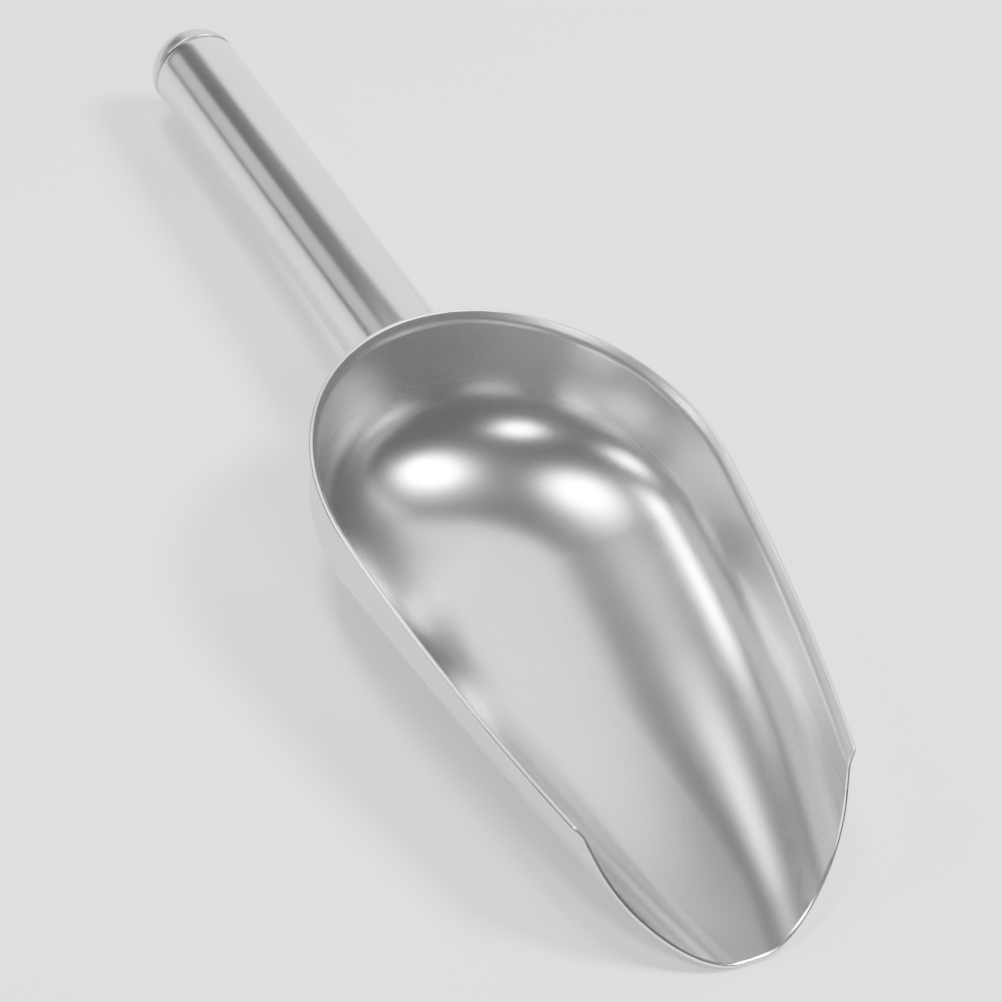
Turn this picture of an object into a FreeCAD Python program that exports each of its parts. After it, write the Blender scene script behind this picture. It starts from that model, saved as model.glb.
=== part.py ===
"""Stainless steel ice scoop with a welded tubular handle.

Frame: +X points from the handle to the mouth, +Y to the left side, +Z up. The origin lies on the flat
underside of the bowl, straight below the centre of the rim's rounded back. Millimetres and degrees.
"""
import FreeCAD, Part
import math
import os
import Sketcher

doc = FreeCAD.newDocument("ice_scoop")

# ---------------------------------------------------------------- driving dimensions
DIMENSIONS = [
    ("rim_radius", 55.0, "rounded back of the rim, in the rim plane"),
    ("side_radius", 535.0, "gently bowed sides of the rim"),
    ("tangent_angle", 84.2, "where the back arc runs into the side arcs, from +X"),
    ("rim_height", 35.7, "height of the rim plane above the origin"),
    ("rim_slope", 6.0, "fall of the rim plane towards the mouth"),
    ("wall_draft", 9.7, "how far the wall leans out, measured from the rim plane's normal"),
    ("form_depth", 65.0, "depth of the drafted form before the floor is cut flat"),
    ("floor_round", 26.0, "rounding between the floor and the wall"),
    ("corner_x", 94.0, "where the rim ends and the front cut starts"),
    ("tip_x", 122.5, "front end of the floor"),
    ("overrun", 6.0, "how far the bowl's form runs past the tip before the front cut"),
    ("skin", 1.2, "sheet thickness of the bowl"),
    ("lip_reach", 1.7, "how far the lip flares outward"),
    ("lip_rise", 2.0, "how far the lip rises above the rim plane"),
    ("handle_diameter", 25.0, "outside of the handle tube"),
    ("handle_wall", 0.8, "wall of the handle tube and of the cap"),
    ("handle_start", -52.0, "x of the point on the handle axis that its height and length count from"),
    ("handle_height", 24.2, "height of the handle axis at that point"),
    ("handle_length", 137.0, "from that point to the seam of the cap, along the axis"),
    ("handle_pitch", -2.5, "rise of the handle axis away from the bowl"),
    ("handle_inset", 25.0, "extra tube inside the bowl's form, trimmed away by the wall"),
    ("cap_rise", 11.0, "height of the domed cap"),
    ("seam_width", 0.6, "width of the weld ring between the tube and the cap"),
    ("seam_depth", 0.25, "how far the weld ring lies below the tube's surface"),
    ("weld_leg", 3.0, "leg of the weld bead round the handle's front end"),
    ("bore_overrun", 1.0, "how far a boring tool runs past each end of what it bores"),
]

sheet = doc.addObject("Spreadsheet::Sheet", "sizes")
for row, (alias, value, meaning) in enumerate(DIMENSIONS, start=1):
    sheet.set("A%d" % row, alias)
    sheet.set("B%d" % row, str(value))
    sheet.set("C%d" % row, meaning)
    sheet.setAlias("B%d" % row, alias)
doc.recompute()

Y_AXIS = FreeCAD.Vector(0, 1, 0)
START, END, MIDDLE = 1, 2, 3
X_AXIS = ROOT = -1
NEAR = 0.01
NEARLY_UP = 0.9


def size(alias):
    """A driving dimension, read back from the sheet."""
    return float(sheet.get(alias))


def bind(thing, **expressions):
    """Bind properties to the sheet; a double underscore stands for the dot in a property's path."""
    for path, expression in expressions.items():
        thing.setExpression(path.replace("__", "."), expression)


def new_sketch(body, name, role):
    """A sketch on one of the body's own origin planes."""
    sketch = body.newObject("Sketcher::SketchObject", name)
    plane = next(item for item in body.Origin.OriginFeatures if item.Role == role)
    sketch.AttachmentSupport = [(plane, "")]
    sketch.MapMode = "FlatFace"
    return sketch


def add_named(sketch, named):
    """Add dimensional constraints by name, each bound to an expression in the sheet's aliases."""
    for label, (constraint, expression) in named.items():
        sketch.renameConstraint(sketch.addConstraint(constraint), label)
        sketch.setExpression("Constraints." + label, expression)


def feature(body, kind, name, **properties):
    """A PartDesign feature with its plain properties set."""
    item = body.newObject("PartDesign::" + kind, name)
    for key, value in properties.items():
        setattr(item, key, value)
    return item


def cut(name, base, tool):
    """One solid less another."""
    result = doc.addObject("Part::Cut", name)
    result.Base = base
    result.Tool = tool
    result.Label = name
    return result


# ---------------------------------------------------------------- the bowl
def outline_sketch(body, name, grow="0", rise="0"):
    """The rim's outline, grown by a length and raised above the rim plane by another.

    A back arc about the sketch's origin runs tangentially into two bowed side arcs, which end on a
    straight line across the front, past the tip.
    """
    sketch = new_sketch(body, name, "XY_Plane")
    tilt = FreeCAD.Rotation(Y_AXIS, size("rim_slope"))
    sketch.AttachmentOffset = FreeCAD.Placement(FreeCAD.Vector(), tilt)
    bind(
        sketch,
        AttachmentOffset__Rotation__Angle="sizes.rim_slope * 1 deg",
        AttachmentOffset__Base__x="(%s) * sin(sizes.rim_slope * 1 deg)" % rise,
        AttachmentOffset__Base__z="sizes.rim_height + (%s) * cos(sizes.rim_slope * 1 deg)" % rise,
    )
    radius = "sizes.rim_radius + (%s)" % grow
    side = "sizes.side_radius + (%s)" % grow
    back_r = sketch.evalExpression(radius)
    side_r = sketch.evalExpression(side)
    front_x = size("tip_x") + size("overrun")
    turn = math.radians(size("tangent_angle"))
    bow_x = -(side_r - back_r) * math.cos(turn)
    bow_y = (side_r - back_r) * math.sin(turn)
    stop = math.acos((front_x - bow_x) / side_r)
    mouth_y = side_r * math.sin(stop) - bow_y

    up = FreeCAD.Vector(0, 0, 1)
    full = 2 * math.pi
    left_circle = Part.Circle(FreeCAD.Vector(bow_x, -bow_y, 0), up, side_r)
    back_circle = Part.Circle(FreeCAD.Vector(0, 0, 0), up, back_r)
    right_circle = Part.Circle(FreeCAD.Vector(bow_x, bow_y, 0), up, side_r)
    mouth_right = FreeCAD.Vector(front_x, -mouth_y, 0)
    mouth_left = FreeCAD.Vector(front_x, mouth_y, 0)
    left = sketch.addGeometry(Part.ArcOfCircle(left_circle, stop, turn))
    back = sketch.addGeometry(Part.ArcOfCircle(back_circle, turn, full - turn))
    right = sketch.addGeometry(Part.ArcOfCircle(right_circle, full - turn, full - stop))
    mouth = sketch.addGeometry(Part.LineSegment(mouth_right, mouth_left))

    sketch.addConstraint(Sketcher.Constraint("Coincident", back, MIDDLE, ROOT, START))
    sketch.addConstraint(Sketcher.Constraint("Tangent", left, END, back, START))
    sketch.addConstraint(Sketcher.Constraint("Tangent", back, END, right, START))
    sketch.addConstraint(Sketcher.Constraint("Coincident", right, END, mouth, START))
    sketch.addConstraint(Sketcher.Constraint("Coincident", mouth, END, left, START))
    sketch.addConstraint(Sketcher.Constraint("Symmetric", mouth, START, mouth, END, X_AXIS))
    sketch.addConstraint(Sketcher.Constraint("Equal", left, right))
    turn_x = back_r * math.cos(turn)
    add_named(sketch, {
        "back": (Sketcher.Constraint("Radius", back, back_r), radius),
        "bow": (Sketcher.Constraint("Radius", left, side_r), side),
        "turn": (
            Sketcher.Constraint("DistanceX", back, MIDDLE, back, START, turn_x),
            "(%s) * cos(sizes.tangent_angle * 1 deg)" % radius,
        ),
        "mouth": (
            Sketcher.Constraint("DistanceX", ROOT, START, mouth, END, front_x),
            "sizes.tip_x + sizes.overrun",
        ),
    })
    return sketch


def underside_sketch(body, name, level):
    """A rectangle at a level, well larger than the form, for cutting the form flat below."""
    sketch = new_sketch(body, name, "XY_Plane")
    bind(sketch, AttachmentOffset__Base__z=level)
    half_long = "2 * sizes.tip_x"
    half_wide = "2 * sizes.rim_radius"
    reach_x = sketch.evalExpression(half_long)
    reach_y = sketch.evalExpression(half_wide)
    corners = [(-reach_x, -reach_y), (reach_x, -reach_y), (reach_x, reach_y), (-reach_x, reach_y)]
    points = [FreeCAD.Vector(x, y, 0) for x, y in corners]
    lines = [sketch.addGeometry(Part.LineSegment(points[i], points[(i + 1) % 4])) for i in range(4)]
    for i in range(4):
        sketch.addConstraint(Sketcher.Constraint("Coincident", lines[i], END, lines[(i + 1) % 4], START))
        direction = "Horizontal" if i % 2 == 0 else "Vertical"
        sketch.addConstraint(Sketcher.Constraint(direction, lines[i]))
    add_named(sketch, {
        "back": (Sketcher.Constraint("DistanceX", lines[0], START, ROOT, START, reach_x), half_long),
        "front": (Sketcher.Constraint("DistanceX", ROOT, START, lines[0], END, reach_x), half_long),
        "right": (Sketcher.Constraint("DistanceY", lines[1], START, ROOT, START, reach_y), half_wide),
        "left": (Sketcher.Constraint("DistanceY", ROOT, START, lines[1], END, reach_y), half_wide),
    })
    return sketch


def front_sketch(body):
    """Side view of what is cut away in front: a four-sided patch ahead of the line from rim to tip."""
    sketch = new_sketch(body, "front_line", "XZ_Plane")
    tip_x, corner_x = size("tip_x"), size("corner_x")
    corner_z = size("rim_height") - corner_x * math.tan(math.radians(size("rim_slope")))
    lean = (tip_x - corner_x) / corner_z
    high = 2 * size("rim_height")
    low = -size("rim_height") / 2
    far = tip_x + 2 * size("overrun")
    corners = [(tip_x - low * lean, low), (far, low), (far, high), (tip_x - high * lean, high)]
    points = [FreeCAD.Vector(x, z, 0) for x, z in corners]
    lines = [sketch.addGeometry(Part.LineSegment(points[i], points[(i + 1) % 4])) for i in range(4)]
    bottom, front, top, slope = lines
    tip = sketch.addGeometry(Part.Point(FreeCAD.Vector(tip_x, 0, 0)), True)
    corner = sketch.addGeometry(Part.Point(FreeCAD.Vector(corner_x, corner_z, 0)), True)
    for i in range(4):
        sketch.addConstraint(Sketcher.Constraint("Coincident", lines[i], END, lines[(i + 1) % 4], START))
    sketch.addConstraint(Sketcher.Constraint("Horizontal", bottom))
    sketch.addConstraint(Sketcher.Constraint("Vertical", front))
    sketch.addConstraint(Sketcher.Constraint("Horizontal", top))
    sketch.addConstraint(Sketcher.Constraint("PointOnObject", tip, START, X_AXIS))
    sketch.addConstraint(Sketcher.Constraint("PointOnObject", tip, START, slope))
    sketch.addConstraint(Sketcher.Constraint("PointOnObject", corner, START, slope))
    add_named(sketch, {
        "tip": (Sketcher.Constraint("DistanceX", ROOT, START, tip, START, tip_x), "sizes.tip_x"),
        "corner": (
            Sketcher.Constraint("DistanceX", ROOT, START, corner, START, corner_x),
            "sizes.corner_x",
        ),
        "corner_up": (
            Sketcher.Constraint("DistanceY", ROOT, START, corner, START, corner_z),
            "sizes.rim_height - sizes.corner_x * tan(sizes.rim_slope * 1 deg)",
        ),
        "far": (
            Sketcher.Constraint("DistanceX", ROOT, START, bottom, END, far),
            "sizes.tip_x + 2 * sizes.overrun",
        ),
        "high": (Sketcher.Constraint("DistanceY", ROOT, START, top, START, high), "2 * sizes.rim_height"),
        "low": (Sketcher.Constraint("DistanceY", bottom, END, ROOT, START, -low), "sizes.rim_height / 2"),
    })
    return sketch


def face_names(shape, wanted):
    """Names of the faces that pass a test."""
    return ["Face%d" % i for i, face in enumerate(shape.Faces, start=1) if wanted(face)]


def edge_names(shape, wanted):
    """Names of the edges that pass a test."""
    return ["Edge%d" % i for i, edge in enumerate(shape.Edges, start=1) if wanted(edge)]


def is_flat(face):
    return isinstance(face.Surface, Part.Plane)


def faces_up(face):
    return is_flat(face) and face.normalAt(0, 0).z > NEARLY_UP


def runs_round(edge, level):
    """Whether an edge is one of the curved ones at a level; the straight one across the front is not."""
    box = edge.BoundBox
    level_with = abs(box.ZMax - level) < NEAR and abs(box.ZMin - level) < NEAR
    return level_with and not isinstance(edge.Curve, Part.Line)


def make_form(name, grow, floor, rounding, lip_grow):
    """One side of the sheet as a solid: drafted walls, a flat floor with a rounded edge, and the lip.

    Returns the body and its last feature before the lip.
    """
    body = doc.addObject("PartDesign::Body", name)
    rim = outline_sketch(body, name + "_rim", grow)
    lip = outline_sketch(body, name + "_lip_edge", lip_grow, "sizes.lip_rise")
    doc.recompute()
    block = feature(body, "Pad", name + "_block", Profile=rim, Reversed=True)
    bind(block, Length="sizes.form_depth")
    doc.recompute()
    draft = feature(body, "Draft", name + "_draft", Reversed=True)
    draft.Base = (block, face_names(block.Shape, lambda face: not is_flat(face)))
    draft.NeutralPlane = (block, face_names(block.Shape, faces_up))
    bind(draft, Angle="sizes.wall_draft")
    below = underside_sketch(body, name + "_below", floor)
    flat = feature(body, "Pocket", name + "_flat", Profile=below, Type="ThroughAll")
    doc.recompute()
    level = below.Placement.Base.z
    form = feature(body, "Fillet", name + "_rounding")
    form.Base = (flat, edge_names(flat.Shape, lambda edge: runs_round(edge, level)))
    bind(form, Radius=rounding)
    doc.recompute()
    feature(body, "AdditiveLoft", name + "_lip", Profile=rim, Sections=[lip], Ruled=True)
    doc.recompute()
    return body, form


def make_bowl():
    """One drawn sheet: the outer form less the inner one, with its front cut off on a slope."""
    outside, form = make_form("outside", "0", "0", "sizes.floor_round", "sizes.lip_reach")
    inside, _ = make_form(
        "inside",
        "-sizes.skin / cos(sizes.wall_draft * 1 deg)",
        "sizes.skin",
        "sizes.floor_round - sizes.skin",
        "sizes.lip_reach - sizes.skin / cos(atan(sizes.lip_reach / sizes.lip_rise))",
    )
    feature(outside, "Pocket", "front_cut", Profile=front_sketch(outside), Type="ThroughAll", Midplane=True)
    doc.recompute()
    return cut("bowl", outside, inside), form


# ---------------------------------------------------------------- the handle
def on_axis(thing, distance):
    """Stand a solid on the handle's axis, its own +Z away from the bowl, at a distance along the axis."""
    thing.Placement = FreeCAD.Placement(FreeCAD.Vector(), FreeCAD.Rotation(-Y_AXIS, 90))
    bind(
        thing,
        Placement__Rotation__Angle="(90 - sizes.handle_pitch) * 1 deg",
        Placement__Base__x="sizes.handle_start - (%s) * cos(sizes.handle_pitch * 1 deg)" % distance,
        Placement__Base__z="sizes.handle_height + (%s) * sin(sizes.handle_pitch * 1 deg)" % distance,
    )


def rod(name, radius, distance, length):
    """A round bar on the handle's axis."""
    bar = doc.addObject("Part::Cylinder", name)
    bind(bar, Radius=radius, Height=length)
    on_axis(bar, distance)
    return bar


def dome(name, rise, radius, distance):
    """Half an ellipsoid on the handle's axis, bulging away from the bowl."""
    half = doc.addObject("Part::Ellipsoid", name)
    half.Angle1 = 0
    bind(half, Radius1=rise, Radius2=radius, Radius3=radius)
    on_axis(half, distance)
    return half


OUTER = "sizes.handle_diameter / 2"
BORE = "sizes.handle_diameter / 2 - sizes.handle_wall"
TUBE_END = "(sizes.handle_length - sizes.seam_width / 2)"
CAP_START = "(sizes.handle_length + sizes.seam_width / 2)"


def make_tube(form):
    """The hollow handle, its front end cut to the outside of the bowl's back wall."""
    bar = rod("tube_bar", OUTER, "-sizes.handle_inset", "sizes.handle_inset + " + TUBE_END)
    bored = "sizes.handle_inset + 2 * sizes.bore_overrun + " + TUBE_END
    bore = rod("tube_bore", BORE, "-sizes.handle_inset - sizes.bore_overrun", bored)
    return cut("handle_tube", cut("tube_blank", bar, bore), form)


def make_cap():
    """The thin domed cap on the tube's far end."""
    outside = dome("cap_outside", "sizes.cap_rise", OUTER, CAP_START)
    inside = dome("cap_inside", "sizes.cap_rise - sizes.handle_wall", BORE, CAP_START)
    return cut("handle_end_cap", outside, inside)


def make_cap_weld():
    """The narrow ring of weld between the tube and the cap, a little below their surface."""
    ring = rod("seam_bar", OUTER + " - sizes.seam_depth", TUBE_END, "sizes.seam_width")
    bored = "sizes.seam_width + 2 * sizes.bore_overrun"
    bore = rod("seam_bore", BORE, TUBE_END + " - sizes.bore_overrun", bored)
    return cut("cap_weld", ring, bore)


def make_bowl_weld(form):
    """The bead round the handle where it meets the bowl: a bevel on their joint, less both of them."""
    bar = rod("weld_bar", OUTER, "-sizes.handle_inset", "2 * sizes.handle_inset")
    joined = doc.addObject("Part::Fuse", "weld_joint")
    joined.Base = form
    joined.Tool = bar
    doc.recompute()
    leg = size("weld_leg")
    seam = [
        index for index, edge in enumerate(joined.Shape.Edges, start=1)
        if lies_on(edge, bar.Shape) and lies_on(edge, form.Shape)
    ]
    bevel = doc.addObject("Part::Chamfer", "weld_bevel")
    bevel.Base = joined
    bevel.Edges = [(index, leg, leg) for index in seam]
    doc.recompute()
    return cut("bowl_weld", cut("weld_less_bowl", bevel, form), bar)


def lies_on(edge, solid):
    """Whether an edge's two quarter points and its middle lie on a solid's skin."""
    skin = Part.makeCompound(solid.Faces)
    span = edge.LastParameter - edge.FirstParameter
    places = [edge.valueAt(edge.FirstParameter + span * share) for share in (0.25, 0.5, 0.75)]
    return all(Part.Vertex(place).distToShape(skin)[0] < NEAR for place in places)


# ---------------------------------------------------------------- build, check and write
bowl, bowl_form = make_bowl()
parts = [bowl, make_tube(bowl_form), make_cap(), make_cap_weld(), make_bowl_weld(bowl_form)]
doc.recompute()
for item in doc.Objects:
    assert "Invalid" not in item.State and "Error" not in item.State, item.Label
for part in parts:
    assert not part.Shape.isNull() and part.Shape.isValid(), part.Label
    box = part.Shape.BoundBox
    print("%-16s solids %d  volume %9.1f  x %7.1f %7.1f  y %6.1f %6.1f  z %6.1f %6.1f" % (
        part.Label, len(part.Shape.Solids), part.Shape.Volume,
        box.XMin, box.XMax, box.YMin, box.YMax, box.ZMin, box.ZMax))
os.makedirs("parts", exist_ok=True)
for part in parts:
    part.Shape.exportStep("parts/%s.step" % part.Label)
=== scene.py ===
"""Looks of the stainless steel ice scoop: bowl, handle tube, domed cap and the two welds."""

import math
import random

import bpy
import bmesh
import numpy as np
from mathutils import Matrix, Vector
from mathutils.bvhtree import BVHTree


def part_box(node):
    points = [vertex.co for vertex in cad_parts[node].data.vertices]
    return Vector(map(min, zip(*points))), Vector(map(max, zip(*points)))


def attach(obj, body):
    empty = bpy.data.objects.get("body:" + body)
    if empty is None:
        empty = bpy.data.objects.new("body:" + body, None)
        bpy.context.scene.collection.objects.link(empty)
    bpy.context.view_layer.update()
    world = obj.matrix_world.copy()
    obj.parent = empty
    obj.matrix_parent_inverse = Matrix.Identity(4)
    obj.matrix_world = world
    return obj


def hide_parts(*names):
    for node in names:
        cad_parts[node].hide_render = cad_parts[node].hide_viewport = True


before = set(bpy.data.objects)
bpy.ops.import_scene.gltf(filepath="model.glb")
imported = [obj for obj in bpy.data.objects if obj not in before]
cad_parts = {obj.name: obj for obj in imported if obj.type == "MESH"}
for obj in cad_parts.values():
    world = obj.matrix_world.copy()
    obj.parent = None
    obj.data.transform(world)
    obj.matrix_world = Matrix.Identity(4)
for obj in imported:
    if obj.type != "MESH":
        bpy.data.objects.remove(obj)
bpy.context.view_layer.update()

MM = 0.001


def cad_box(node):
    """Lowest and highest corner of a CAD node, in millimetres."""
    return [np.array(corner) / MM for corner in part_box(node)]


# ---------------------------------------------------------------- dimensions, in millimetres
bowl_low, bowl_high = cad_box("bowl")
seam_low, seam_high = cad_box("cap_weld")

SIDE_RADIUS = 535.0
TANGENT_ANGLE = math.radians(84.2)
RIM_SLOPE = math.radians(6.0)
WALL_DRAFT = math.radians(9.7)
SIDE_SECTION = (34.0, 26.0, 9.0)
BACK_SECTION = (44.0, 34.0, 12.0)
FRONT_SECTION = (19.8, 19.8, 7.24)
FRONT_BLEND = (40.0, 115.0)
DISH = 2.8
DISH_HALF = 26.0
DISH_FADE = 30.0
CORNER_X = 94.0
TIP_X = bowl_high[0]
SKIN = 1.2
LIP_REACH = 1.7
LIP_RISE = 2.0
LIP_BEND = 3.2
EDGE_BULGE = 0.35
RIM_RADIUS = (LIP_RISE * math.sin(RIM_SLOPE) - bowl_low[0]) / math.cos(RIM_SLOPE) - LIP_REACH
LIP_TOP = (RIM_RADIUS + LIP_REACH) * math.sin(RIM_SLOPE) + LIP_RISE * math.cos(RIM_SLOPE)
RIM_HEIGHT = bowl_high[2] - LIP_TOP
HANDLE_WALL = 0.8
TUBE_SWELL = 0.03
END_DRAW = 0.14
END_LENGTH = 2.6
HANDLE_LENGTH = 137.0
HANDLE_PITCH = math.radians(-2.5)
SEAM_WIDTH = 0.6
SEAM_DEPTH = 0.25
HANDLE_RADIUS = seam_high[1] + SEAM_DEPTH
CAP_RISE = 11.0
WELD_LEG = 3.0

RIM_FORWARD = np.array([math.cos(RIM_SLOPE), 0.0, -math.sin(RIM_SLOPE)])
RIM_UP = np.array([math.sin(RIM_SLOPE), 0.0, math.cos(RIM_SLOPE)])
LEFT = np.array([0.0, 1.0, 0.0])
UP = np.array([0.0, 0.0, 1.0])
CORNER_Z = RIM_HEIGHT - CORNER_X * math.tan(RIM_SLOPE)
FRONT_LEAN = (TIP_X - CORNER_X) / CORNER_Z


# ---------------------------------------------------------------- the bowl's surface
def unit(vectors):
    return vectors / np.maximum(np.linalg.norm(vectors, axis=-1, keepdims=True), 1e-12)


def outline_angle(length):
    """Angle of the outline's normal, at a length along it from the middle of its back."""
    back_length = RIM_RADIUS * (math.pi - TANGENT_ANGLE)
    on_back = math.pi - length / RIM_RADIUS
    on_side = TANGENT_ANGLE - (length - back_length) / SIDE_RADIUS
    return np.where(length < back_length, on_back, on_side)


def rim_point(angle, out, up):
    """Point by the rim's outline, moved outward in the rim plane and up along its normal."""
    bow = SIDE_RADIUS - RIM_RADIUS
    on_back = angle >= TANGENT_ANGLE
    radius = np.where(on_back, RIM_RADIUS, SIDE_RADIUS) + out
    along = radius * np.cos(angle) - np.where(on_back, 0.0, bow * math.cos(TANGENT_ANGLE))
    across = radius * np.sin(angle) - np.where(on_back, 0.0, bow * math.sin(TANGENT_ANGLE))
    up = np.broadcast_to(up, along.shape)
    point = along[..., None] * RIM_FORWARD + across[..., None] * LEFT + up[..., None] * RIM_UP
    return point + RIM_HEIGHT * UP


def wall_normal(angle):
    """The wall's outward normal."""
    flat = np.cos(angle)[..., None] * RIM_FORWARD + np.sin(angle)[..., None] * LEFT
    return math.cos(WALL_DRAFT) * flat - math.sin(WALL_DRAFT) * RIM_UP


def smooth_step(value):
    value = np.clip(value, 0, 1)
    return value * value * (3 - 2 * value)


def section(angle):
    """The four control points of the curve from floor to wall, and its top's depth below the rim.

    The curve leaves the floor and joins the wall without a kink. It is slack round the back and tighter
    towards the mouth. Its clearance is how far it stays from where floor and wall would meet.
    """
    rim = rim_point(angle, 0.0, 0.0)
    step = rim_point(angle, -math.tan(WALL_DRAFT), -1.0) - rim
    length = np.linalg.norm(step, axis=-1)
    depth = -rim[..., 2] / step[..., 2]
    corner = rim + depth[..., None] * step
    inward = -wall_normal(angle)
    inward[..., 2] = 0
    inward = unit(inward)
    upward = -step / length[..., None]
    back = smooth_step((angle - TANGENT_ANGLE) / (math.pi - TANGENT_ANGLE))
    front = smooth_step((corner[..., 0] - FRONT_BLEND[0]) / (FRONT_BLEND[1] - FRONT_BLEND[0]))
    floor_reach, wall_reach, clear = [
        (at_side * (1 - back) + at_back * back) * (1 - front) + at_front * front
        for at_side, at_back, at_front in zip(SIDE_SECTION, BACK_SECTION, FRONT_SECTION)
    ]
    wall_reach = np.minimum(wall_reach, 0.93 * depth * length)
    spread = np.sum(inward * upward, axis=-1)
    span = np.sqrt(floor_reach ** 2 + wall_reach ** 2 + 2 * floor_reach * wall_reach * spread)
    pull = np.clip((4 - 8 * clear / span) / 3, 0.3, 0.97)[..., None]
    low = corner + floor_reach[..., None] * inward
    high = corner + wall_reach[..., None] * upward
    return low, low + (corner - low) * pull, high + (corner - high) * pull, high, depth - wall_reach / length


def dished(points):
    """Raise the floor a little to either side of its middle, fading out up the wall."""
    fade = np.clip(1 - points[..., 2] / DISH_FADE, 0, 1) ** 2
    lifted = points.copy()
    lifted[..., 2] += fade * DISH * (points[..., 1] / DISH_HALF) ** 2
    return lifted


def lip_profile(count):
    """The bend from the wall into the lip: pairs of outward and upward distances from the rim line.

    The bend sits a little below the rim line, so that the inner skin's edge ends level with the lip's top.
    """
    lean = math.atan2(LIP_REACH, LIP_RISE)
    turn = lean - WALL_DRAFT
    drop = SKIN * math.sin(lean)
    kink = np.array([-drop * math.tan(WALL_DRAFT), -drop])
    tangent = LIP_BEND * math.tan(turn / 2)
    start = kink - np.array([math.sin(WALL_DRAFT), math.cos(WALL_DRAFT)]) * tangent
    centre = start + LIP_BEND * np.array([math.cos(WALL_DRAFT), -math.sin(WALL_DRAFT)])
    bend = np.linspace(0, turn, count) + WALL_DRAFT
    arc = centre + LIP_BEND * np.stack([-np.cos(bend), np.sin(bend)], -1)
    end = kink + np.array([LIP_REACH, LIP_RISE]) * (1 - EDGE_BULGE / math.hypot(LIP_REACH, LIP_RISE))
    share = np.linspace(0, 1, count // 2)[1:, None]
    return np.vstack([arc, arc[-1] + share * (end - arc[-1])])


FLOOR_ROWS = 34
ROUND_ROWS = 60
WALL_ROWS = 20
LIP = lip_profile(9)
SIDE_COLUMNS = 280
SPINE_SHARE = 0.35


def row_points(row, length):
    """Points of one row of the outer skin at lengths along the outline.

    Rows run from the floor to the lip.
    """
    angle = outline_angle(length)
    low, low_pull, high_pull, high, depth = section(angle)
    if row <= FLOOR_ROWS:
        return dished(low)
    row -= FLOOR_ROWS
    if row <= ROUND_ROWS:
        t = row / ROUND_ROWS
        u = 1 - t
        return dished(u ** 3 * low + 3 * t * u * u * low_pull + 3 * t * t * u * high_pull + t ** 3 * high)
    row -= ROUND_ROWS
    if row <= WALL_ROWS:
        last = -LIP[0, 1]
        here = depth + (last - depth) * row / WALL_ROWS
        return dished(rim_point(angle, -here * math.tan(WALL_DRAFT), -here))
    out, up = LIP[row - WALL_ROWS]
    return dished(rim_point(angle, out, up))


def row_end(row):
    """Length along the outline where a row meets the sloping front cut."""
    low, high = 60.0, 260.0
    for _ in range(50):
        middle = (low + high) / 2
        point = row_points(row, np.array([middle]))[0]
        ahead = point[0] + point[2] * FRONT_LEAN > TIP_X - EDGE_BULGE
        low, high = (low, middle) if ahead else (middle, high)
    return low


def outer_grid():
    """The outer skin's left half as rows by columns of points; column 0 is the middle of the back."""
    rows = FLOOR_ROWS + ROUND_ROWS + WALL_ROWS + len(LIP)
    share = np.linspace(0, 1, SIDE_COLUMNS + 1)
    grid = np.zeros((rows, SIDE_COLUMNS + 1, 3))
    for row in range(FLOOR_ROWS, rows):
        grid[row] = row_points(row, share * row_end(row))
    rim = grid[FLOOR_ROWS]
    spine = np.zeros_like(rim)
    spine_back = rim[0, 0] * SPINE_SHARE
    spine[:, 0] = spine_back + (rim[-1, 0] - spine_back) * share
    for row in range(FLOOR_ROWS):
        flat = spine + (rim - spine) * row / FLOOR_ROWS
        flat[:, 2] = 0
        grid[row] = dished(flat)
    return grid


WAVES = []
wave_random = random.Random(41)
for _ in range(9):
    heading = Vector([wave_random.gauss(0, 1) for _ in range(3)]).normalized()
    pull = np.array(heading) * 2 * math.pi / wave_random.uniform(34, 80)
    WAVES.append((pull, wave_random.uniform(0, 2 * math.pi)))
WAVE_HEIGHT = 0.035
WAVE_INSET = 2.2 * WAVE_HEIGHT
WAVE_FADE_ROWS = 12


def waviness(points):
    """Slow unevenness of drawn and polished sheet, in millimetres along the normal."""
    total = np.zeros(points.shape[:-1])
    for pull, phase in WAVES:
        total += np.sin(points @ pull + phase)
    return WAVE_HEIGHT * total / math.sqrt(len(WAVES))


def grid_normals(grid):
    """Normals of a grid of points, pointing outward for rows that rise and columns that turn left."""
    return unit(np.cross(np.gradient(grid, axis=1), np.gradient(grid, axis=0)))


def new_mesh(name, points, faces, material, node=None):
    """A smooth-shaded mesh object in metres, riding on the root body."""
    mesh = bpy.data.meshes.new(name)
    mesh.from_pydata((np.asarray(points) * MM).tolist(), [], faces)
    mesh.validate()
    mesh.polygons.foreach_set("use_smooth", [True] * len(mesh.polygons))
    mesh.materials.append(material)
    piece = bpy.data.objects.new(name, mesh)
    bpy.context.scene.collection.objects.link(piece)
    tidy = bmesh.new()
    tidy.from_mesh(mesh)
    bmesh.ops.recalc_face_normals(tidy, faces=tidy.faces)
    tidy.to_mesh(mesh)
    tidy.free()
    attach(piece, "root")
    if node:
        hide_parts(node)
    return piece


def bowl_skins():
    """Outer and inner skins of the whole sheet, as grids of points from its right end to its left end."""
    half = outer_grid()
    mirror = half[:, :0:-1] * np.array([1.0, -1.0, 1.0])
    outer = np.concatenate([mirror, half], axis=1)
    normals = grid_normals(outer)
    middle = outer.shape[1] // 2
    if normals[-1, middle, 0] > 0:
        normals = -normals
    normals[0] = -UP
    shift = waviness(outer) - WAVE_INSET
    fade = np.ones(outer.shape[0])
    fade[:FLOOR_ROWS] = 0
    fade[FLOOR_ROWS:FLOOR_ROWS + WAVE_FADE_ROWS] = np.linspace(0, 1, WAVE_FADE_ROWS)
    outer = outer + (shift * fade[:, None])[..., None] * normals
    inner = outer - SKIN * normals
    return outer, inner, normals


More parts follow.
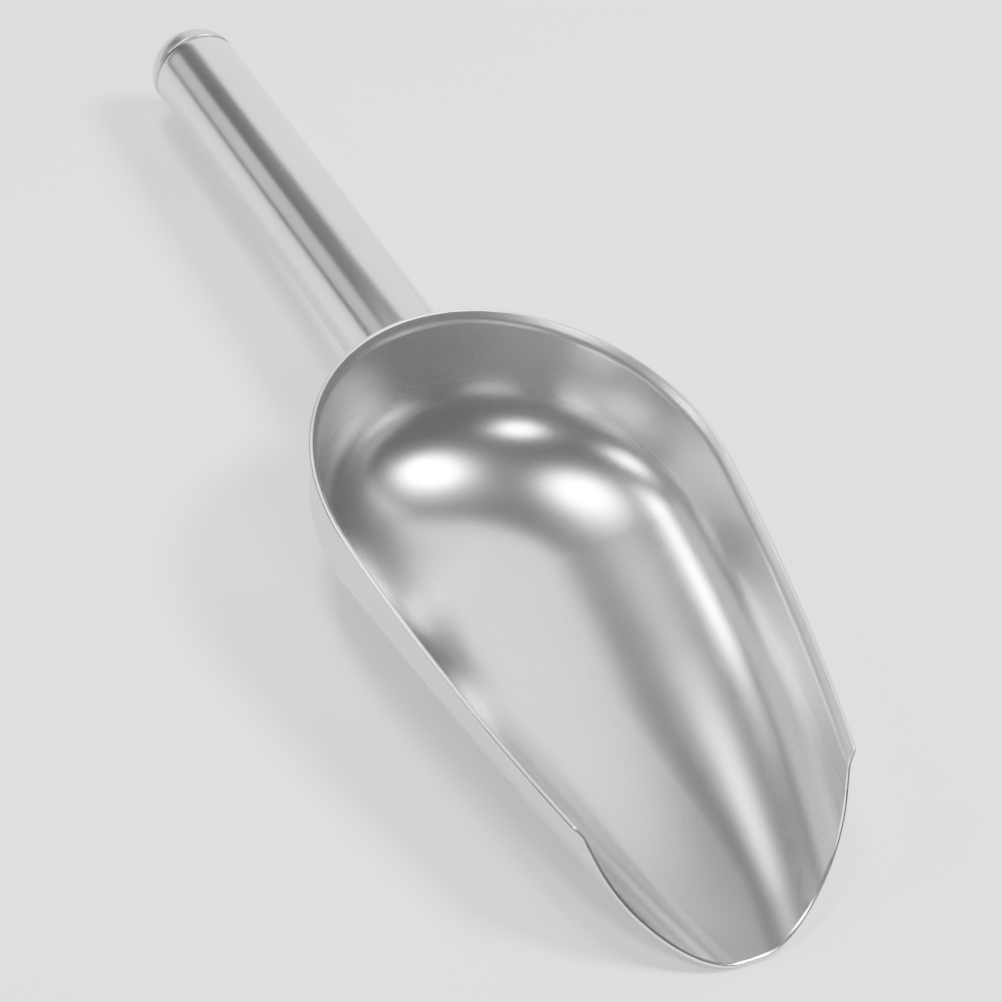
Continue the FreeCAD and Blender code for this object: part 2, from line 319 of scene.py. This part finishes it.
def make_bowl(material):
    """The sheet: both skins joined by a rounded cut edge along the mouth and the lip."""
    outer, inner, normals = bowl_skins()
    rows, columns = outer.shape[:2]
    points = []
    index = {}

    def number(skin, row, column):
        if row == 0:
            column = max(column, columns - 1 - column)
        return index[skin, row, column]

    for skin, grid in enumerate((outer, inner)):
        for row in range(rows):
            for column in range(columns):
                if row == 0 and column < columns // 2:
                    continue
                index[skin, row, column] = len(points)
                points.append(grid[row, column])
    faces = []
    for skin in (0, 1):
        for row in range(rows - 1):
            for column in range(columns - 1):
                corners = [
                    number(skin, row, column), number(skin, row, column + 1),
                    number(skin, row + 1, column + 1), number(skin, row + 1, column),
                ]
                if skin:
                    corners.reverse()
                faces.append(list(dict.fromkeys(corners)))
    last = columns - 1
    loop = [(row, 0) for row in range(rows)]
    loop += [(rows - 1, column) for column in range(1, columns)]
    loop += [(row, last) for row in range(rows - 2, 0, -1)]
    out_edge = np.array([outer[place] for place in loop])
    in_edge = np.array([inner[place] for place in loop])
    within = np.array([
        outer[row - (row == rows - 1), column + (column == 0) - (column == last)] for row, column in loop
    ])
    run = unit(np.roll(out_edge, -1, axis=0) - np.roll(out_edge, 1, axis=0))
    across = unit(np.cross(run, out_edge - in_edge))
    across *= np.sign(np.sum(across * (out_edge - within), axis=1))[:, None]
    strips = 6
    rings = [[number(0, *place) for place in loop]]
    for step in range(1, strips):
        turn = math.pi * step / strips
        ring = (out_edge + in_edge) / 2 + (out_edge - in_edge) / 2 * math.cos(turn)
        ring = ring + across * EDGE_BULGE * math.sin(turn)
        rings.append(list(range(len(points), len(points) + len(loop))))
        points.extend(ring)
    rings.append([number(1, *place) for place in loop])
    for here, there in zip(rings, rings[1:]):
        for i in range(len(loop)):
            k = (i + 1) % len(loop)
            faces.append([here[i], here[k], there[k], there[i]])
    bowl = new_mesh("bowl_sheet", points, faces, material, "bowl")
    return bowl, outer


# ---------------------------------------------------------------- the handle
AXIS = np.array([-math.cos(HANDLE_PITCH), 0.0, math.sin(HANDLE_PITCH)])
AXIS_START = (seam_low + seam_high) / 2 - HANDLE_LENGTH * AXIS
OVER = np.cross(LEFT, AXIS)
ROUND_COLUMNS = 216
ANGLES = np.linspace(0, 2 * math.pi, ROUND_COLUMNS, endpoint=False)
SPOKES = np.cos(ANGLES)[:, None] * LEFT + np.sin(ANGLES)[:, None] * OVER


def ring_points(along, radius):
    """A ring of points round the handle's axis; along and radius may vary round the ring."""
    along = np.broadcast_to(along, ANGLES.shape)
    radius = np.broadcast_to(radius, ANGLES.shape)
    return AXIS_START + along[:, None] * AXIS + radius[:, None] * SPOKES


def loft(name, rings, material, node, closed=False):
    """A skin through rings of points; with closed, the last ring runs back into the first."""
    points = np.concatenate(rings)
    count = len(ANGLES)
    pairs = list(zip(range(len(rings)), range(1, len(rings))))
    if closed:
        pairs.append((len(rings) - 1, 0))
    faces = []
    for a, b in pairs:
        for i in range(count):
            k = (i + 1) % count
            faces.append([a * count + i, a * count + k, b * count + k, b * count + i])
    return new_mesh(name, points, faces, material, node)


def wall_distance(outer, radius):
    """How far along the handle's axis the bowl's outer skin lies, for each spoke at a radius."""
    half = outer[FLOOR_ROWS:, ::3]
    rows, columns = half.shape[:2]
    quads = [
        [r * columns + c, r * columns + c + 1, (r + 1) * columns + c + 1, (r + 1) * columns + c]
        for r in range(rows - 1) for c in range(columns - 1)
    ]
    tree = BVHTree.FromPolygons(half.reshape(-1, 3).tolist(), quads)
    far = 60.0
    distances = []
    for start in ring_points(far, radius):
        hit = tree.ray_cast(Vector(start), Vector(-AXIS))
        distances.append(far - hit[3])
    return np.array(distances)


def make_tube(material, outer):
    """The thin tube: coped to the bowl's wall in front, its far edge drawn in a little at the seam."""
    joint = wall_distance(outer, HANDLE_RADIUS) + 0.02
    end = HANDLE_LENGTH - SEAM_WIDTH / 2
    rings = []
    for share in np.linspace(0, 1, 140):
        along = joint + (end - joint) * share
        swell = TUBE_SWELL * np.sin(along / 11.0 + np.sin(ANGLES) * 0.6)
        drawn_in = END_DRAW * smooth_step((along - (end - END_LENGTH)) / END_LENGTH) ** 2
        rings.append(ring_points(along, HANDLE_RADIUS - TUBE_SWELL + swell - drawn_in))
    rings.append(ring_points(end + 0.04, HANDLE_RADIUS - 0.3))
    for share in np.linspace(1, 0, 12):
        rings.append(ring_points(joint + (end - joint) * share, HANDLE_RADIUS - HANDLE_WALL))
    return loft("tube_skin", rings, material, "handle_tube", closed=True), joint


def make_cap(material):
    """The spun dome that closes the tube: a soft shoulder at the seam, then an elliptical crown."""
    begin = HANDLE_LENGTH + SEAM_WIDTH / 2
    rings = [ring_points(begin + 0.02, HANDLE_RADIUS - 0.34)]
    for share in np.linspace(0.035, 0.995, 90):
        turn = share * math.pi / 2
        sink = 0.10 * (1 - smooth_step(share / 0.09))
        rings.append(ring_points(begin + CAP_RISE * math.sin(turn), HANDLE_RADIUS * math.cos(turn) - sink))
    rings.append(ring_points(begin + CAP_RISE * 0.9999, 0.02))
    inner_rise = CAP_RISE - HANDLE_WALL
    inner_radius = HANDLE_RADIUS - HANDLE_WALL
    rings.append(ring_points(begin + inner_rise, 0.02))
    for share in np.linspace(0.97, 0, 24):
        turn = share * math.pi / 2
        rings.append(ring_points(begin + inner_rise * math.sin(turn), inner_radius * math.cos(turn)))
    return loft("cap_dome", rings, material, "handle_end_cap", closed=True)


def make_seam(material):
    """The sunken ring of weld between the tube and the cap, with a faint ripple left by the torch."""
    middle = HANDLE_LENGTH
    half = SEAM_WIDTH / 2
    ripple = 0.02 * np.sin(ANGLES * 70) + 0.015 * np.sin(ANGLES * 31 + 1.0)
    rings = []
    for share in np.linspace(0, 1, 9):
        hollow = 0.08 * math.sin(math.pi * share)
        radius = HANDLE_RADIUS - SEAM_DEPTH - 0.04 - hollow + ripple * math.sin(math.pi * share)
        rings.append(ring_points(middle - half + 2 * half * share, radius))
    rings.append(ring_points(middle + half, HANDLE_RADIUS - HANDLE_WALL))
    rings.append(ring_points(middle - half, HANDLE_RADIUS - HANDLE_WALL))
    return loft("seam_ring", rings, material, "cap_weld", closed=True)


def make_bead(material, outer, joint):
    """The ground and rippled bead of weld round the handle's front end."""
    toes = wall_distance(outer, HANDLE_RADIUS + WELD_LEG)
    steps = 16
    beads = 54
    comb = ANGLES * beads / 2
    toe_radius = HANDLE_RADIUS + WELD_LEG * (0.94 + 0.05 * np.sin(ANGLES * 9 + 0.5))
    toe_along = joint + (toes - joint) * (toe_radius - HANDLE_RADIUS) / WELD_LEG
    heel = joint + WELD_LEG * (0.93 + 0.05 * np.sin(ANGLES * 11 + 2.0))
    rings = []
    for share in np.linspace(0, 1, steps):
        fall = share * share
        rise = (1 - share) * (1 - share)
        pull = 2 * share * (1 - share)
        ripple = 0.07 * np.abs(np.sin(comb + 2.2 * (share - 0.5) ** 2)) * math.sin(math.pi * share)
        along = rise * heel + pull * (joint + WELD_LEG * 0.36) + fall * toe_along + ripple
        radius = rise * (HANDLE_RADIUS - 0.02) + pull * (HANDLE_RADIUS + WELD_LEG * 0.36)
        radius = radius + fall * toe_radius + ripple
        rings.append(ring_points(along, radius))
    rings.append(ring_points(joint, HANDLE_RADIUS - 0.02))
    return loft("bead_ring", rings, material, "bowl_weld", closed=True)


# ---------------------------------------------------------------- materials
class Look:
    """A node material under construction."""

    def __init__(self, name, metallic=1.0):
        self.material = bpy.data.materials.new(name)
        self.material.use_nodes = True
        self.tree = self.material.node_tree
        self.shader = self.tree.nodes["Principled BSDF"]
        self.shader.inputs["Metallic"].default_value = metallic
        self.place = self.node("ShaderNodeTexCoord").outputs["Object"]

    def node(self, kind, **settings):
        item = self.tree.nodes.new(kind)
        for key, value in settings.items():
            setattr(item, key, value)
        return item

    def link(self, source, target):
        self.tree.links.new(source, target)

    def turned(self, degrees, scale):
        """Object coordinates turned about Y and stretched."""
        item = self.node("ShaderNodeMapping")
        self.link(self.place, item.inputs["Vector"])
        item.inputs["Rotation"].default_value = (0, math.radians(degrees), 0)
        item.inputs["Scale"].default_value = scale
        return item.outputs["Vector"]

    def noise(self, scale, detail=2.0, where=None, roughness=0.5):
        item = self.node("ShaderNodeTexNoise")
        self.link(where or self.place, item.inputs["Vector"])
        item.inputs["Scale"].default_value = scale
        item.inputs["Detail"].default_value = detail
        item.inputs["Roughness"].default_value = roughness
        return item.outputs["Fac"]

    def spread(self, source, low, high, from_low=0.3, from_high=0.7):
        """Map a noise onto a range."""
        item = self.node("ShaderNodeMapRange")
        self.link(source, item.inputs["Value"])
        sockets = ("From Min", "From Max", "To Min", "To Max")
        for socket, value in zip(sockets, (from_low, from_high, low, high)):
            item.inputs[socket].default_value = value
        return item.outputs["Result"]

    def maths(self, kind, a, b):
        item = self.node("ShaderNodeMath", operation=kind)
        for socket, value in zip(item.inputs, (a, b)):
            if isinstance(value, (int, float)):
                socket.default_value = value
            else:
                self.link(value, socket)
        return item.outputs["Value"]

    def tint(self, share, dark, light):
        item = self.node("ShaderNodeMix", data_type="RGBA")
        self.link(share, item.inputs["Factor"])
        item.inputs["A"].default_value = (*dark, 1)
        item.inputs["B"].default_value = (*light, 1)
        self.link(item.outputs["Result"], self.shader.inputs["Base Color"])

    def rough(self, value):
        self.link(value, self.shader.inputs["Roughness"])

    def bumps(self, *layers):
        """Chained bumps: pairs of a height and its depth in metres."""
        normal = None
        for height, depth in layers:
            item = self.node("ShaderNodeBump")
            item.inputs["Strength"].default_value = 1.0
            item.inputs["Distance"].default_value = depth
            self.link(height, item.inputs["Height"])
            if normal:
                self.link(normal, item.inputs["Normal"])
            normal = item.outputs["Normal"]
        self.link(normal, self.shader.inputs["Normal"])


def satin_steel():
    """Drawn sheet with a fine, even satin grain, slightly cloudy."""
    look = Look("satin_steel")
    grain = look.noise(1500, 3, roughness=0.7)
    fine = look.noise(4200, 1)
    cloud = look.noise(26, 3)
    scratch = look.noise(260, 2, look.turned(20, (1, 14, 14)))
    mixed = look.maths("ADD", look.spread(cloud, 0, 0.4), look.spread(grain, 0, 0.6))
    look.tint(mixed, (0.57, 0.57, 0.57), (0.70, 0.70, 0.70))
    base = look.spread(cloud, 0.18, 0.20)
    height = look.node("ShaderNodeSeparateXYZ")
    look.link(look.place, height.inputs["Vector"])
    upper = look.spread(height.outputs["Z"], 0.0, 0.13, 0.013, 0.027)
    base = look.maths("ADD", base, upper)
    look.rough(look.maths("ADD", base, look.spread(grain, -0.002, 0.002)))
    look.bumps((scratch, 0.000002), (grain, 0.000003), (fine, 0.000001))
    return look.material


def polished_tube():
    """Drawn tube polished round and along, with faint lengthwise streaks."""
    look = Look("polished_tube")
    axis_turn = math.degrees(HANDLE_PITCH)
    streak = look.noise(420, 2, look.turned(axis_turn, (0.035, 1, 1)))
    grain = look.noise(1700, 2, roughness=0.7)
    cloud = look.noise(40, 3)
    mixed = look.maths("ADD", look.spread(cloud, 0, 0.5), look.spread(grain, 0, 0.5))
    look.tint(mixed, (0.57, 0.57, 0.57), (0.68, 0.68, 0.68))
    base = look.spread(streak, 0.20, 0.23)
    look.rough(look.maths("ADD", base, look.spread(grain, -0.01, 0.02)))
    look.bumps((streak, 0.000010), (grain, 0.000010))
    return look.material


def spun_cap():
    """Pressed cap with a coarser grain than the tube."""
    look = Look("spun_cap")
    grain = look.noise(1300, 3, roughness=0.7)
    cloud = look.noise(120, 2)
    mixed = look.maths("ADD", look.spread(cloud, 0, 0.4), look.spread(grain, 0, 0.6))
    look.tint(mixed, (0.42, 0.42, 0.42), (0.60, 0.60, 0.60))
    look.rough(look.spread(grain, 0.30, 0.36))
    look.bumps((grain, 0.000016))
    return look.material


def weld_metal():
    """Ground weld, darker and rougher, with a slight heat tint."""
    look = Look("weld_metal")
    grain = look.noise(900, 3, roughness=0.65)
    heat = look.noise(150, 2)
    look.tint(look.spread(heat, 0, 1), (0.16, 0.16, 0.155), (0.32, 0.315, 0.305))
    look.rough(look.spread(grain, 0.34, 0.52))
    look.bumps((grain, 0.00004))
    return look.material


def pale_floor():
    """A plain, pale, matt tabletop."""
    look = Look("pale_floor", metallic=0.0)
    cloud = look.noise(3, 2)
    look.tint(look.spread(cloud, 0, 1), (0.86, 0.86, 0.86), (0.88, 0.88, 0.88))
    look.shader.inputs["Roughness"].default_value = 0.7
    look.shader.inputs["Emission Color"].default_value = (1, 1, 1, 1)
    look.shader.inputs["Emission Strength"].default_value = 0.3
    return look.material


# ---------------------------------------------------------------- put together
steel = satin_steel()
weld = weld_metal()
bowl, bowl_outer = make_bowl(steel)
tube, joint_line = make_tube(polished_tube(), bowl_outer)
cap = make_cap(spun_cap())
seam = make_seam(weld)
bead = make_bead(weld, bowl_outer, joint_line)


def add_floor():
    """A square tabletop just under the scoop."""
    mesh = bpy.data.meshes.new("tabletop")
    half = 12.0
    corners = [(-half, -half, 0), (half, -half, 0), (half, half, 0), (-half, half, 0)]
    mesh.from_pydata(corners, [], [(0, 1, 2, 3)])
    mesh.materials.append(pale_floor())
    floor = bpy.data.objects.new("tabletop", mesh)
    floor.location.z = -0.0002
    bpy.context.scene.collection.objects.link(floor)


def add_softbox(name, spot, azimuth, elevation, spread, radiance, distance):
    """A round soft light facing a spot on the scoop.

    It stands in a direction seen from the spot, at a distance in metres, and covers a half-angle in degrees.
    """
    azimuth, elevation = math.radians(azimuth), math.radians(elevation)
    toward = Vector((
        math.cos(elevation) * math.cos(azimuth), math.cos(elevation) * math.sin(azimuth), math.sin(elevation),
    ))
    lamp = bpy.data.lights.new(name, "AREA")
    lamp.shape = "DISK"
    lamp.size = 2 * distance * math.tan(math.radians(spread))
    lamp.energy = radiance * math.pi * math.pi / 4 * lamp.size * lamp.size
    item = bpy.data.objects.new(name, lamp)
    item.rotation_mode = "QUATERNION"
    item.location = Vector(spot) * MM + toward * distance
    item.rotation_quaternion = toward.to_track_quat("Z", "Y")
    bpy.context.scene.collection.objects.link(item)


def add_flag():
    """A low dark board that draws a dark line along the handle.

    It stands across the table, and shows behind the scoop in views from its front left.
    """
    look = Look("flag", metallic=0.0)
    look.tint(look.noise(3, 2), (0.02, 0.02, 0.02), (0.03, 0.03, 0.03))
    azimuth, distance, half_width, top = math.radians(-134), 0.9, 0.5, 0.07
    middle = Vector((math.cos(azimuth), math.sin(azimuth), 0)) * distance
    side = Vector((-math.sin(azimuth), math.cos(azimuth), 0)) * half_width
    high = Vector((0, 0, top))
    corners = [middle - side, middle + side, middle + side + high, middle - side + high]
    mesh = bpy.data.meshes.new("flag")
    mesh.from_pydata(corners, [], [(0, 1, 2, 3)])
    mesh.materials.append(look.material)
    flag = bpy.data.objects.new("flag", mesh)
    bpy.context.scene.collection.objects.link(flag)


def add_camera():
    """The camera looks down at the bowl from its front right, turned about its own line of sight."""
    azimuth, elevation, roll = math.radians(-42.28), math.radians(41.67), math.radians(19.2)
    distance = 718.8
    shift_right, shift_up = 1.10, 21.15
    pixels_per_mm = 3.9895
    picture = 1002
    back = Vector((
        math.cos(elevation) * math.cos(azimuth), math.cos(elevation) * math.sin(azimuth), math.sin(elevation),
    ))
    level = Vector((0, 0, 1)).cross(back).normalized()
    top = back.cross(level)
    right = math.cos(roll) * level + math.sin(roll) * top
    up = math.cos(roll) * top - math.sin(roll) * level
    data = bpy.data.cameras.new("camera")
    sensor = 36
    data.sensor_width = sensor
    data.lens = sensor * pixels_per_mm * distance / picture
    camera = bpy.data.objects.new("camera", data)
    turn = Matrix((right, up, back)).transposed().to_4x4()
    place = (distance * back + shift_right * right + shift_up * up) * MM
    camera.matrix_world = Matrix.Translation(place) @ turn
    bpy.context.scene.collection.objects.link(camera)
    bpy.context.scene.camera = camera


def add_world():
    """An even, dim white surround."""
    world = bpy.data.worlds.new("studio")
    world.use_nodes = True
    world.node_tree.nodes["Background"].inputs["Color"].default_value = (1, 1, 1, 1)
    world.node_tree.nodes["Background"].inputs["Strength"].default_value = 0.2
    bpy.context.scene.world = world


add_floor()
add_flag()
add_world()
add_softbox("left_key", (-37, -1, 6), 80, 58, 10, 44, 1.3)
add_softbox("front_key", (-38, 25, 13), -26, 45, 6, 30, 0.45)
add_softbox("back_right_key", (-13, 34, 8), -144, 67, 6, 50, 2.5)
add_softbox("right_accent", (-16, 45, 17), -96, 33, 4.5, 30, 0.40)
add_softbox("back_strip", (28, 42, 13), -142, 38, 2.5, 80, 0.25)
add_softbox("side_window", (0, 0, 20), 150, 25, 29, 2.3, 1.2)
add_softbox("back_window", (-111, 0, 34), -136, 18, 12, 1.0, 1.2)
add_camera()


def check_place(piece, node, tolerance):
    """Stop if a piece's box is further from its CAD node's box than a tolerance in millimetres."""
    points = np.array([vertex.co for vertex in piece.data.vertices]) / MM
    for found, wanted in zip((points.min(0), points.max(0)), cad_box(node)):
        assert np.abs(found - wanted).max() < tolerance, node


# The back wall curves in sooner here than in CAD, so the tube and its bead reach up to 3 mm further forward.
check_place(bowl, "bowl", 0.6)
check_place(cap, "handle_end_cap", 0.3)
check_place(seam, "cap_weld", 0.3)
check_place(tube, "handle_tube", 3.3)
check_place(bead, "bowl_weld", 3.3)
